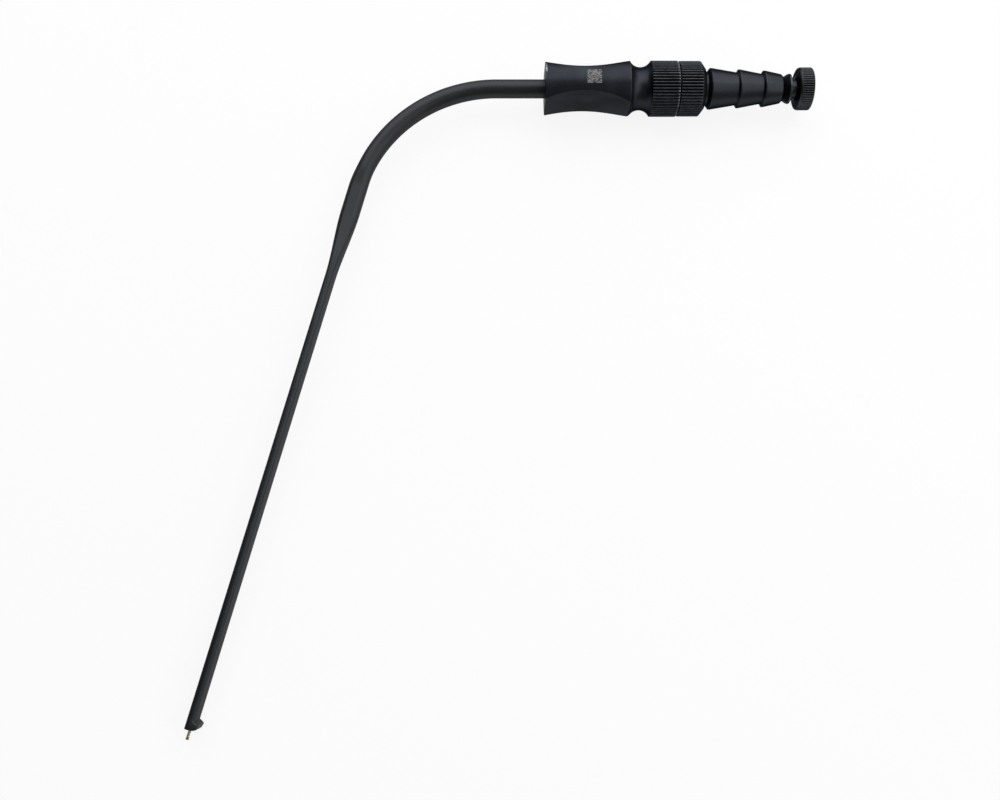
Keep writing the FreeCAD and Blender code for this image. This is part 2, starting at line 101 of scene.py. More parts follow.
@dataclass(frozen=True)
class Layout:
    """Where the instrument lies in the frame."""

    face: Vector
    roll: float
    leg_angle: float

    @classmethod
    def from_frame(cls) -> "Layout":
        """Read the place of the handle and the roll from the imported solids.

        Returns:
            The layout of this instrument.
        """
        grip_low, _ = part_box("grip_body")
        washer_low, washer_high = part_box("stylet_washer")
        middle = (washer_low + washer_high) / 2
        joint = next(item for item in frame["joints"] if item["name"] == "stylet_end_draw")
        axis = joint["axis"]
        return cls(
            face=Vector((grip_low.x, middle.y, middle.z)),
            roll=math.atan2(axis[2], axis[1]),
            leg_angle=math.acos(axis[0]),
        )

    def place(self, points: np.ndarray) -> np.ndarray:
        """Turn points of the instrument into points of the frame.

        Args:
            points: An array of points in millimetres, three numbers in a row.

        Returns:
            The same points in metres, rolled and moved to where the instrument lies.
        """
        cosine, sine = math.cos(self.roll), math.sin(self.roll)
        turned = np.empty_like(points, dtype=float)
        turned[..., 0] = points[..., 0]
        turned[..., 1] = points[..., 1] * cosine - points[..., 2] * sine
        turned[..., 2] = points[..., 1] * sine + points[..., 2] * cosine
        return turned * MM + np.array(self.face)


def soften(corners: list[tuple[float, float, float]], steps: int = 4) -> Outline:
    """Round the corners of a closed outline.

    Args:
        corners: Places along and out from the axis, each with the radius of its rounding.
        steps: How many short edges make one rounding.

    Returns:
        The outline with each rounded corner drawn as short edges.
    """
    outline: Outline = []
    count = len(corners)
    for index, (along, out, radius) in enumerate(corners):
        here = Vector((along, out))
        before = Vector(corners[index - 1][:2]) - here
        after = Vector(corners[(index + 1) % count][:2]) - here
        if radius <= 0 or before.length < 1e-6 or after.length < 1e-6:
            outline.append((along, out))
            continue
        opening = before.angle(after)
        if opening > math.radians(178):
            outline.append((along, out))
            continue
        reach = min(radius / math.tan(opening / 2), before.length * 0.48, after.length * 0.48)
        start = here + before.normalized() * reach
        end = here + after.normalized() * reach
        for step in range(steps + 1):
            share = step / steps
            point = start.lerp(here, share).lerp(here.lerp(end, share), share)
            outline.append((point.x, point.y))
    return outline


def divide(outline: Outline, spacing: float, low: float, high: float, clear: float = 0.0) -> Outline:
    """Add points to the long edges of an outline that lie between two places along the axis.

    Args:
        outline: A closed outline.
        spacing: The longest edge that is left there.
        low: Where the finer part starts.
        high: Where the finer part ends.
        clear: The radius inside which no edge is divided.

    Returns:
        The outline with the added points.
    """
    divided: Outline = []
    for index, start in enumerate(outline):
        end = outline[(index + 1) % len(outline)]
        divided.append(start)
        length = math.dist(start, end)
        inside = min(start[0], end[0]) > low - 1e-6 and max(start[0], end[0]) < high + 1e-6
        outer = min(start[1], end[1]) > clear
        if inside and outer and length > spacing:
            parts = math.ceil(length / spacing)
            for part in range(1, parts):
                share = part / parts
                divided.append(tuple(a + (b - a) * share for a, b in zip(start, end)))
    return divided


def convex_wear(outline: Outline, reach: float = 0.25) -> np.ndarray:
    """Say how exposed each point of an outline is, from its outward corners.

    Args:
        outline: A closed outline whose inside lies to the right of its direction.
        reach: How far along the outline a corner's wear spreads, in millimetres.

    Returns:
        One number for each point, from 0 on a flat to 1 on a sharp outward corner.
    """
    points = np.array(outline)
    before = points - np.roll(points, 1, axis=0)
    after = np.roll(points, -1, axis=0) - points
    turning = np.arctan2(
        before[:, 0] * after[:, 1] - before[:, 1] * after[:, 0], (before * after).sum(axis=1))
    steps = np.linalg.norm(after, axis=1)
    station = np.concatenate([[0.0], np.cumsum(steps)[:-1]])
    wear = np.zeros(len(points))
    for index in range(len(points)):
        near = np.abs(station - station[index]) < reach
        wear[index] = np.clip(-turning[near].sum() / (math.pi / 2), 0.0, 1.0)
    return wear


class MeshMaker:
    """Turns rings of points into closed Blender meshes in the frame."""

    def __init__(self, layout: Layout) -> None:
        """Keep the layout that places every mesh."""
        self.layout = layout

    def from_rings(self, name: str, rings: np.ndarray, wear: np.ndarray) -> bpy.types.Object:
        """Join rings of equal count into one closed smooth skin.

        Args:
            name: The piece's name.
            rings: Points as rings, columns and three coordinates, in millimetres.
            wear: Edge wear for each point, rings by columns.

        Returns:
            The new object, linked to the scene.
        """
        count, columns = rings.shape[:2]
        numbers = np.arange(count * columns).reshape(count, columns)
        following = np.roll(numbers, -1, axis=0)
        quads = np.stack(
            [numbers, np.roll(numbers, -1, axis=1), np.roll(following, -1, axis=1), following], axis=-1)
        return self.from_faces(name, rings.reshape(-1, 3), quads.reshape(-1, 4).tolist(), wear)

    def from_faces(
        self, name: str, points: np.ndarray, faces: list[list[int]], wear: np.ndarray | None = None,
        tint: np.ndarray | None = None,
    ) -> bpy.types.Object:
        """Make a mesh object from points and faces.

        Args:
            name: The piece's name.
            points: Points in millimetres.
            faces: Point numbers of each face.
            wear: Edge wear for each point.
            tint: Heat tint for each point.

        Returns:
            The new object, linked to the scene, with merged doubles and outward faces.
        """
        mesh = bpy.data.meshes.new(name)
        mesh.from_pydata(self.layout.place(points).tolist(), [], faces)
        for attribute, values in ((WEAR_AND_GLINT_ATTRIBUTE, wear), (TINT_ATTRIBUTE, tint)):
            layer = mesh.attributes.new(attribute, "FLOAT", "POINT")
            if values is not None:
                layer.data.foreach_set("value", np.asarray(values, dtype=np.float32).ravel())
        self._clean(mesh)
        mesh.set_sharp_from_angle(angle=SHARP_ANGLE)
        made = bpy.data.objects.new(name, mesh)
        bpy.context.scene.collection.objects.link(made)
        return made

    @staticmethod
    def _clean(mesh: bpy.types.Mesh) -> None:
        """Merge coincident points, drop flat faces and turn every face outwards."""
        working = bmesh.new()
        working.from_mesh(mesh)
        bmesh.ops.remove_doubles(working, verts=working.verts, dist=MERGE_DISTANCE)
        bmesh.ops.dissolve_degenerate(working, edges=working.edges, dist=FLAT_FACE)
        bmesh.ops.recalc_face_normals(working, faces=working.faces)
        for face in working.faces:
            face.smooth = True
        working.to_mesh(mesh)
        working.free()


@dataclass(frozen=True)
class Knurl:
    """A straight knurl: V grooves cut along a round ring."""

    start: float
    end: float
    radius: float
    depth: float
    half_width: float
    teeth: int

    def depth_at(self, angles: np.ndarray) -> np.ndarray:
        """Give the groove's depth under the crest at each angle round the ring.

        Args:
            angles: Angles in radians.

        Returns:
            The depths in millimetres, rounded a little at the crest's shoulders.
        """
        pitch = 2 * math.pi / self.teeth
        offset = np.abs((angles / pitch + 0.5) % 1.0 - 0.5) * pitch * self.radius
        slope = np.clip(1.0 - offset / self.half_width, 0.0, 1.0)
        full = math.sqrt(1 + CREST_SHOULDER ** 2) - CREST_SHOULDER
        return self.depth * (np.sqrt(slope ** 2 + CREST_SHOULDER ** 2) - CREST_SHOULDER) / full


class Lathe:
    """Turns outlines about the handle axis, with knurls where a piece has them."""

    def __init__(self, maker: MeshMaker, columns: int) -> None:
        """Keep the mesh maker and how many columns go round."""
        self.maker = maker
        self.columns = columns

    def turn(
        self, name: str, outline: Outline, knurls: tuple[Knurl, ...] = (), worn: float = 1.0,
    ) -> bpy.types.Object:
        """Revolve a closed outline about the handle axis.

        Args:
            name: The piece's name.
            outline: The closed outline, along and out from the axis.
            knurls: The knurled rings of this piece.
            worn: How strongly the outline's corners are worn.

        Returns:
            The new object.
        """
        angles = np.linspace(0, 2 * math.pi, self.columns, endpoint=False)
        wear = np.repeat(convex_wear(outline)[:, None] * worn, self.columns, axis=1)
        rings = np.empty((len(outline), self.columns, 3))
        for index, (along, out) in enumerate(outline):
            radii = np.full(self.columns, out)
            for knurl in knurls:
                if knurl.start - 1e-6 <= along <= knurl.end + 1e-6:
                    depth = knurl.depth_at(angles)
                    radii = np.minimum(radii, knurl.radius - depth)
                    crest = (depth < knurl.depth * CREST_SHARE) * CREST_WEAR
                    wear[index] = np.maximum(wear[index], crest * worn)
            rings[index] = np.stack(
                [np.full(self.columns, along), radii * np.cos(angles), radii * np.sin(angles)], axis=-1)
        return self.maker.from_rings(name, rings, wear)


@dataclass
class Grip:
    """The turned grip: scalloped barrel, round neck groove, knurled ring, tube seat and socket."""

    radius: float = 7.35
    length: float = 23.0
    face_edge: float = 0.22
    scallop_radius: float = 30.0
    scallop_waist: float = 3.51
    scallop_place: float = 10.6
    scallop_edge: float = 0.14
    # Where the painted highlight sits on the face edge: its angle round the axis, its spread, and the depth
    # of the face rim.
    glint_angle: float = math.radians(65)
    glint_spread: float = math.radians(14)
    face_rim_depth: float = 0.5
    neck_length: float = 5.75
    neck_radius: float = 5.66
    neck_curve: float = 3.29
    ring_length: float = 7.3
    ring_edge: float = 0.28
    ring_lead: float = 0.35
    seam_lead: float = 0.6
    row_spacing: float = 0.45
    knurl_teeth: int = 55
    knurl_depth: float = 0.36
    knurl_half_width: float = 0.34
    socket_radius: float = 4.5
    socket_depth: float = 6.0
    passage_radius: float = 2.0
    seat_radius: float = 2.52
    seat_depth: float = 14.0
    columns_per_tooth: int = 12
    corner_share: float = 0.64

    @property
    def ring_start(self) -> float:
        """Where the knurled ring starts."""
        return self.length + self.neck_length

    @property
    def ring_end(self) -> float:
        """Where the knurled ring ends and the nozzle's begins."""
        return self.ring_start + self.ring_length

    def neck_outline(self, steps: int = 40) -> list[tuple[float, float, float]]:
        """Draw the neck's round groove as an arc between the barrel and the ring."""
        middle = self.length + self.neck_length / 2
        centre = self.neck_radius + self.neck_curve
        half = math.acos((centre - self.radius) / self.neck_curve)
        points = []
        for step in range(steps + 1):
            angle = -half + 2 * half * step / steps
            rounding = 0.18 if step in (0, steps) else 0.0
            points.append((
                middle + self.neck_curve * math.sin(angle),
                centre - self.neck_curve * math.cos(angle),
                rounding,
            ))
        return points

    def outline(self) -> Outline:
        """Draw the grip's closed outline."""
        corners = [
            (0.0, self.seat_radius, 0.1),
            (0.0, self.radius, self.face_edge),
            *self.neck_outline(),
            (self.ring_start + self.ring_lead, self.radius, 0.0),
            (self.ring_end - self.seam_lead, self.radius, 0.0),
            (self.ring_end, self.radius, self.ring_edge),
            (self.ring_end, self.socket_radius, 0.08),
            (self.ring_end - self.socket_depth, self.socket_radius, 0.0),
            (self.ring_end - self.socket_depth, self.passage_radius, 0.0),
            (self.seat_depth, self.passage_radius, 0.0),
            (self.seat_depth, self.seat_radius, 0.0),
        ]
        return divide(soften(corners), self.row_spacing, 0.0, self.length, self.seat_radius + 0.05)

    def flat_height(self, along: float) -> float:
        """Give the scallop's height over the handle axis at a place along it."""
        reach = self.scallop_radius ** 2 - (along - self.scallop_place) ** 2
        return self.scallop_waist + self.scallop_radius - math.sqrt(reach)

    def build(self, maker: MeshMaker) -> bpy.types.Object:
        """Build the grip with its scallops' edges on mesh lines.

        Args:
            maker: The mesh maker.

        Returns:
            The new object.
        """
        columns = self.knurl_teeth * self.columns_per_tooth
        quarter = columns // 4
        corner_column = round(quarter * self.corner_share)
        even_corner = corner_column / quarter * math.pi / 2
        outline = self.outline()
        base_wear = convex_wear(outline)
        knurl = Knurl(
            self.ring_start, self.ring_end, self.radius, self.knurl_depth, self.knurl_half_width,
            self.knurl_teeth)
        rings = np.empty((len(outline), columns, 3))
        wear = np.empty((len(outline), columns))
        index_in_quarter = np.arange(columns) / columns * 4 % 1.0
        quadrant = (np.arange(columns) / columns * 4).astype(int)
        mirrored = np.where(quadrant % 2 == 0, index_in_quarter, 1.0 - index_in_quarter)
        for number, (along, out) in enumerate(outline):
            barrel = along < self.ring_start and out > self.seat_radius + 0.2
            corner = even_corner
            height = math.inf
            if barrel or along < 0.01:
                on_face_edge = along < self.face_edge and out > self.radius - self.face_rim_depth
                trimmed = self.radius - out if on_face_edge else 0.0
                height = self.flat_height(along) - trimmed
                rim = max(out, self.radius - self.face_edge) if along < 0.01 else out
                exact = math.acos(min(1.0, height / rim)) if rim > height else 0.0
                settle = min(max((along - self.length) / (self.ring_start - self.length), 0.0), 1.0)
                corner = max(exact, even_corner * settle)
            split = corner_column / quarter
            share = np.where(
                mirrored <= split, mirrored / split * corner,
                corner + (mirrored - split) / (1 - split) * (math.pi / 2 - corner))
            angles = np.select(
                [quadrant == 0, quadrant == 1, quadrant == 2],
                [share, math.pi - share, math.pi + share], 2 * math.pi - share)
            radii = np.full(columns, out)
            edge = np.zeros(columns)
            if height < math.inf:
                flat = height / np.maximum(np.abs(np.cos(angles)), 1e-6)
                gap = np.abs(radii - flat)
                near = np.clip(1 - gap / self.scallop_edge, 0.0, 1.0)
                radii = np.minimum(radii, flat) - near ** 2 * self.scallop_edge / 4
                edge = near * (out > self.radius - 1.2)
            if knurl.start - 1e-6 <= along <= knurl.end + 1e-6 and out > self.socket_radius:
                depth = knurl.depth_at(angles)
                radii = np.minimum(radii, knurl.radius - depth)
                edge = np.maximum(edge, (depth < knurl.depth * CREST_SHARE) * CREST_WEAR)
            # The ring's seam edge gets strong worn-coat colour: partly bare-metal wear, partly a painted
            # highlight of the bright line the edge catches.
            if abs(along - self.ring_end) < self.ring_edge and out > self.radius - self.ring_edge:
                edge = np.full(columns, SEAM_WEAR_AND_GLINT)
            # Painted highlight: a patch of bare-metal colour on the face edge's chamfer stands in for the
            # bright light the edge catches there.
            if along < self.face_edge + 0.06 and out > self.radius - self.face_rim_depth:
                glint = np.clip(1 - np.abs(angles - self.glint_angle) / self.glint_spread, 0.0, 1.0)
                edge = np.maximum(edge, np.sqrt(glint) * FACE_GLINT)
            wear[number] = np.maximum(base_wear[number], edge)
            rings[number] = np.stack(
                [np.full(columns, along), radii * np.cos(angles), radii * np.sin(angles)], axis=-1)
        return maker.from_rings("grip", rings, wear)


@dataclass
class Nozzle:
    """The hose nozzle: knurled ring, neck, three barbs, plug bore and spigot."""

    grip: Grip = field(default_factory=Grip)
    seam_width: float = 0.3
    seam_radius: float = 6.4
    ring_radius: float = 7.27
    ring_length: float = 7.05
    ring_bevel: float = 1.3
    bevel_drop: float = 1.7
    neck_length: float = 0.7
    neck_radius: float = 4.4
    barb_radii: tuple[float, float, float] = (5.47, 5.1, 4.8)
    barb_pitches: tuple[float, float] = (7.75, 6.85)
    nose_length: float = 5.22
    barb_one_back: float = 0.85
    barb_back: float = 0.4
    barb_land: float = 0.35
    barb_drop: float = 1.15
    lip_radius: float = 3.88
    lip_length: float = 0.5
    spigot_radius: float = 4.47
    seal_thickness: float = 0.7
    bore_radius: float = 2.5
    bore_depth: float = 20.0

    @property
    def ring_start(self) -> float:
        """Where the nozzle's knurled ring starts."""
        return self.grip.ring_end + self.seam_width

    @property
    def ring_end(self) -> float:
        """Where the knurled ring's bevel ends."""
        return self.ring_start + self.ring_length

    @property
    def barb_places(self) -> tuple[float, float, float]:
        """Where the three barbs' crests start."""
        first = self.ring_end + self.neck_length + self.barb_one_back
        second = first + self.barb_pitches[0]
        return first, second, second + self.barb_pitches[1]

    @property
    def end(self) -> float:
        """Where the nozzle's mouth is."""
        return self.barb_places[-1] + self.nose_length

    def outline(self) -> Outline:
        """Draw the nozzle's closed outline."""
        floor = self.grip.ring_end - self.grip.socket_depth + self.seal_thickness
        radius = self.ring_radius
        corners = [
            (floor, self.grip.passage_radius, 0.0),
            (floor, self.spigot_radius, 0.15),
            (self.grip.ring_end, self.spigot_radius, 0.0),
            (self.grip.ring_end, self.seam_radius, 0.0),
            (self.ring_start, self.seam_radius, 0.0),
            (self.ring_start, radius, self.grip.ring_edge),
            (self.ring_end - self.ring_bevel, radius, 0.35),
            (self.ring_end, radius - self.bevel_drop, 0.2),
            (self.ring_end, self.neck_radius, 0.15),
            (self.barb_places[0] - self.barb_one_back, self.neck_radius, 0.1),
        ]
        feet = [place - self.barb_back for place in self.barb_places[1:]]
        for place, crest, foot in zip(self.barb_places, self.barb_radii, feet):
            corners.append((place, crest, 0.08))
            corners.append((place + self.barb_land, crest, 0.12))
            corners.append((foot, crest - self.barb_drop, 0.05))
        corners.append((self.barb_places[-1], self.barb_radii[-1], 0.08))
        corners.append((self.barb_places[-1] + self.barb_land, self.barb_radii[-1], 0.12))
        corners.append((self.end - self.lip_length, self.lip_radius, 0.25))
        corners += [
            (self.end, self.lip_radius - self.lip_length, 0.12),
            (self.end, self.bore_radius, 0.08),
            (self.end - self.bore_depth, self.bore_radius, 0.0),
            (self.end - self.bore_depth, self.grip.passage_radius, 0.0),
        ]
        return divide(soften(corners), 0.5, self.ring_start, self.ring_end)

    def build(self, maker: MeshMaker) -> bpy.types.Object:
        """Build the nozzle.

        Args:
            maker: The mesh maker.

        Returns:
            The new object.
        """
        grip = self.grip
        knurl = Knurl(
            self.ring_start, self.ring_end, self.ring_radius, grip.knurl_depth, grip.knurl_half_width,
            grip.knurl_teeth)
        lathe = Lathe(maker, grip.knurl_teeth * grip.columns_per_tooth)
        return lathe.turn("nozzle", self.outline(), (knurl,))


@dataclass
class StyletKnob:
    """The stylet's knob with its hub, stop disc and plug, and the two rubber rings on it."""

    nozzle: Nozzle = field(default_factory=Nozzle)
    washer_thickness: float = 1.5
    washer_radius: float = 3.8
    washer_bevel: float = 1.25
    washer_bevel_drop: float = 0.8
    washer_edge: float = 0.3
    disc_thickness: float = 0.6
    disc_radius: float = 3.95
    hub_length: float = 1.45
    hub_radius: float = 2.4
    boss_length: float = 0.4
    head_radius: float = 5.63
    head_length: float = 3.75
    head_shoulder: float = 1.75
    head_edge: float = 0.4
    teeth: int = 57
    knurl_depth: float = 0.34
    knurl_half_width: float = 0.25
    columns_per_tooth: int = 10
    plug_radius: float = 2.45
    plug_length: float = 19.4
    plug_nose: float = 0.5
    groove_place: float = 3.2
    groove_width: float = 1.3
    groove_radius: float = 1.28
    crimp_depth: float = 5.0
    crimp_radius: float = 0.38

    @property
    def disc_end(self) -> float:
        """Where the stop disc ends."""
        return self.nozzle.end + self.washer_thickness + self.disc_thickness

    @property
    def head_start(self) -> float:
        """Where the knurled head starts."""
        return self.disc_end + self.hub_length + self.boss_length

    @property
    def head_end(self) -> float:
        """Where the knurled head ends."""
        return self.head_start + self.head_length

    def outline(self) -> Outline:
        """Draw the knob's closed outline."""
        mouth = self.nozzle.end
        nose = mouth - self.plug_length
        head = self.head_radius
        corners = [
            (nose, self.crimp_radius, 0.0),
            (nose, self.plug_radius, self.plug_nose),
            (mouth - self.groove_place, self.plug_radius, 0.05),
            (mouth - self.groove_place, self.groove_radius, 0.0),
            (mouth - self.groove_place + self.groove_width, self.groove_radius, 0.0),
            (mouth - self.groove_place + self.groove_width, self.plug_radius, 0.05),
            (mouth + self.washer_thickness, self.plug_radius, 0.0),
            (mouth + self.washer_thickness, self.disc_radius, 0.15),
            (self.disc_end, self.disc_radius, 0.15),
            (self.disc_end, self.hub_radius, 0.12),
            (self.head_start - self.boss_length, self.hub_radius, 0.1),
            (self.head_start, head - self.head_shoulder, 0.05),
            (self.head_start, head, self.head_shoulder - 0.1),
            (self.head_end, head, self.head_edge),
            (self.head_end, 0.0, 0.0),
            (nose + self.crimp_depth, 0.0, 0.0),
            (nose + self.crimp_depth, self.crimp_radius, 0.0),
        ]
        return divide(soften(corners, steps=7), 0.6, self.head_start, self.head_end)

    def build(self, maker: MeshMaker) -> bpy.types.Object:
        """Build the knob.

        Args:
            maker: The mesh maker.

        Returns:
            The new object.
        """
        knurl = Knurl(
            self.head_start + self.head_shoulder * 0.3, self.head_end, self.head_radius,
            self.knurl_depth, self.knurl_half_width, self.teeth)
        lathe = Lathe(maker, self.teeth * self.columns_per_tooth)
        return lathe.turn("knob", self.outline(), (knurl,))

    def build_washer(self, maker: MeshMaker) -> bpy.types.Object:
        """Build the black bevelled ring between the nozzle's mouth and the stop disc.

        Args:
            maker: The mesh maker.

        Returns:
            The new object.
        """
        start = self.nozzle.end
        end = start + self.washer_thickness
        inner = self.nozzle.bore_radius
        outline = soften([
            (start, inner, 0.0),
            (start, self.washer_radius - self.washer_bevel_drop, 0.1),
            (start + self.washer_bevel, self.washer_radius, self.washer_edge),
            (end, self.washer_radius, self.washer_edge),
            (end, inner, 0.0),
        ])
        return Lathe(maker, 128).turn("washer", outline, worn=0.0)


@dataclass
class SuctionTube:
    """The bent tube: round at the grip, oval after the bend, then a flat blade with a turned-out foot."""

    radius: float = 2.5
    wall: float = 0.3
    seat: float = 14.0
    lead: float = 13.15
    bend_radius: float = 38.6
    pinch_share: float = 0.875
    pinch_size: tuple[float, float, float] = (4.5, 5.3, 2.2)
    oval_width: float = 4.93
    oval_depth: float = 4.3
    oval_corner: float = 1.7
    oval_length: float = 6.9
    taper_length: float = 19.0
    blade_width: float = 2.0
    blade_depth: float = 6.06
    blade_corner: float = 0.96
    leg_length: float = 145.0
    foot_length: float = 2.2
    foot_reach: float = 1.3
    mouth_flare: float = 0.22
    columns: int = 120
    bend_steps: int = 72
    taper_steps: int = 44

    def route_on_arc(self, turned: float) -> tuple[np.ndarray, np.ndarray]:
        """Give the centre and the inside direction after so many radians of the bend."""
        inward = np.array([math.sin(turned), -math.cos(turned), 0.0])
        return np.array([-self.lead, -self.bend_radius, 0.0]) - inward * self.bend_radius, inward

    def route_on_leg(self, angle: float, distance: float) -> tuple[np.ndarray, np.ndarray]:
        """Give the centre and the inside direction at a distance down the leg."""
        start, inward = self.route_on_arc(angle)
        along = np.array([-math.cos(angle), -math.sin(angle), 0.0])
        return start + along * distance, inward

    def loop(self, width: float, depth: float, corner: float) -> tuple[np.ndarray, np.ndarray]:
        """Sample a rounded rectangle evenly along its edge.

        Args:
            width: Size towards the inside of the bend.
            depth: Size along z.
            corner: Radius of the corners.

        Returns:
            The points, and how squarely each one faces the inside of the bend, from -1 to 1.
        """
        flat_width = max(width / 2 - corner, 0.0)
        flat_depth = max(depth / 2 - corner, 0.0)
        quarter = corner * math.pi / 2
        lengths = np.array([flat_depth, quarter, 2 * flat_width, quarter, 2 * flat_depth, quarter,
                            2 * flat_width, quarter, flat_depth])
        ends = np.cumsum(lengths)
        starts = ends - lengths
        centres = ((1, 1), (-1, 1), (-1, -1), (1, -1))
        points = np.empty((self.columns, 2))
        facing = np.empty(self.columns)
        for number in range(self.columns):
            travelled = ends[-1] * number / self.columns
            part = min(int(np.searchsorted(ends, travelled, side="right")), 8)
            gone = travelled - starts[part]
            if part % 2:
                side = part // 2
                angle = side * math.pi / 2 + (gone / corner if corner > 0 else 0.0)
                sign_width, sign_depth = centres[side]
                points[number] = (
                    sign_width * flat_width + corner * math.cos(angle),
                    sign_depth * flat_depth + corner * math.sin(angle))
                facing[number] = math.cos(angle)
                continue
            side = part // 2
            points[number] = (
                (width / 2, gone), (flat_width - gone, depth / 2), (-width / 2, flat_depth - gone),
                (gone - flat_width, -depth / 2), (width / 2, gone - flat_depth))[side]
            facing[number] = (1.0, 0.0, -1.0, 0.0, 1.0)[side]
        return points, facing

    def size_at(self, share: float, first: tuple, last: tuple) -> tuple[float, float, float]:
        """Blend two sections, gently at both ends."""
        eased = share * share * (3 - 2 * share)
        return tuple(a + (b - a) * eased for a, b in zip(first, last))

    def foot_profile(self) -> list[tuple[float, float]]:
        """Draw the foot: distance before the mouth, and how far the inside face is turned out."""
        length, reach = self.foot_length, self.foot_reach
        return [
            (length + 0.35, 0.0), (length + 0.15, 0.02), (length + 0.02, 0.09), (length - 0.06, 0.24),
            (length - 0.12, 0.45), (length - 0.2, 0.66), (length - 0.34, 0.83), (length - 0.55, reach - 0.02),
            (length - 0.8, reach), (length - 1.02, reach - 0.04), (0.46, reach * 0.8), (0.28, reach * 0.62),
            (0.12, reach * 0.42), (0.03, reach * 0.26),
        ]

    def stations(self, angle: float) -> list[tuple[np.ndarray, np.ndarray, tuple, float]]:
        """List the sections along the tube, each with its centre, inside direction, size and foot.

        Args:
            angle: The bend's angle in radians.

        Returns:
            The sections from the seat in the grip to the mouth.
        """
        round_size = (2 * self.radius, 2 * self.radius, self.radius)
        oval_size = (self.oval_width, self.oval_depth, self.oval_corner)
        blade_size = (self.blade_width, self.blade_depth, self.blade_corner)
        upward = np.array([0.0, -1.0, 0.0])
        listed = [(np.array([self.seat, 0.0, 0.0]), upward, round_size, 0.0),
                  (np.array([0.0, 0.0, 0.0]), upward, round_size, 0.0)]
        for step in range(self.bend_steps + 1):
            share = step / self.bend_steps
            place, inward = self.route_on_arc(angle * share)
            if share < self.pinch_share:
                size = self.size_at(share / self.pinch_share, round_size, self.pinch_size)
            else:
                past = (share - self.pinch_share) / (1 - self.pinch_share)
                size = self.size_at(past, self.pinch_size, oval_size)
            listed.append((place, inward, size, 0.0))
        for step in range(self.taper_steps + 1):
            share = step / self.taper_steps
            place, inward = self.route_on_leg(angle, self.oval_length + self.taper_length * share)
            listed.append((place, inward, self.size_at(share, oval_size, blade_size), 0.0))
        for before_mouth, out in self.foot_profile():
            place, inward = self.route_on_leg(angle, self.leg_length - before_mouth)
            listed.append((place, inward, blade_size, out))
        return listed

    def build(self, maker: MeshMaker) -> bpy.types.Object:
        """Build the tube with its hollow and its foot.

        Args:
            maker: The mesh maker.

        Returns:
            The new object.
        """
        angle = maker.layout.leg_angle
        rings = []
        wear = []
        depth_axis = np.array([0.0, 0.0, 1.0])

        def add(place: np.ndarray, inward: np.ndarray, size: tuple, inset: float, out: float) -> None:
            width, depth, corner = size
            flat, facing = self.loop(width - 2 * inset, depth - 2 * inset, max(corner - inset, 0.05))
            turned_out = np.clip(facing, 0.0, 1.0) ** 1.5 * out
            across = flat[:, 0] + turned_out
            rings.append(place + across[:, None] * inward + flat[:, 1][:, None] * depth_axis)
            # Worn-coat colour that grows as the foot turns out: partly wear of the lip, partly a painted
            # highlight on the lip's rim.
            wear.append(np.clip(turned_out / self.foot_reach, 0.0, 1.0) ** 4 * FOOT_WEAR_AND_GLINT)

        listed = self.stations(angle)
        for place, inward, size, out in listed:
            add(place, inward, size, 0.0, out)
        mouth, inward = self.route_on_leg(angle, self.leg_length)
        blade_size = (self.blade_width, self.blade_depth, self.blade_corner)
        flare = self.mouth_flare
        add(mouth, inward, blade_size, 0.07, flare)
        wear[-1][:] = 0.8
        add(mouth, inward, blade_size, self.wall - 0.06, flare)
        wear[-1][:] = 0.6
        for before_mouth, share in ((0.15, 0.6), (0.5, 0.25), (1.2, 0.0)):
            place, inward = self.route_on_leg(angle, self.leg_length - before_mouth)
            add(place, inward, blade_size, self.wall, flare * share)
        for place, inward, size, out in reversed(listed[:-len(self.foot_profile())]):
            add(place, inward, size, self.wall, 0.0)
        return maker.from_rings("tube", np.array(rings), np.array(wear))


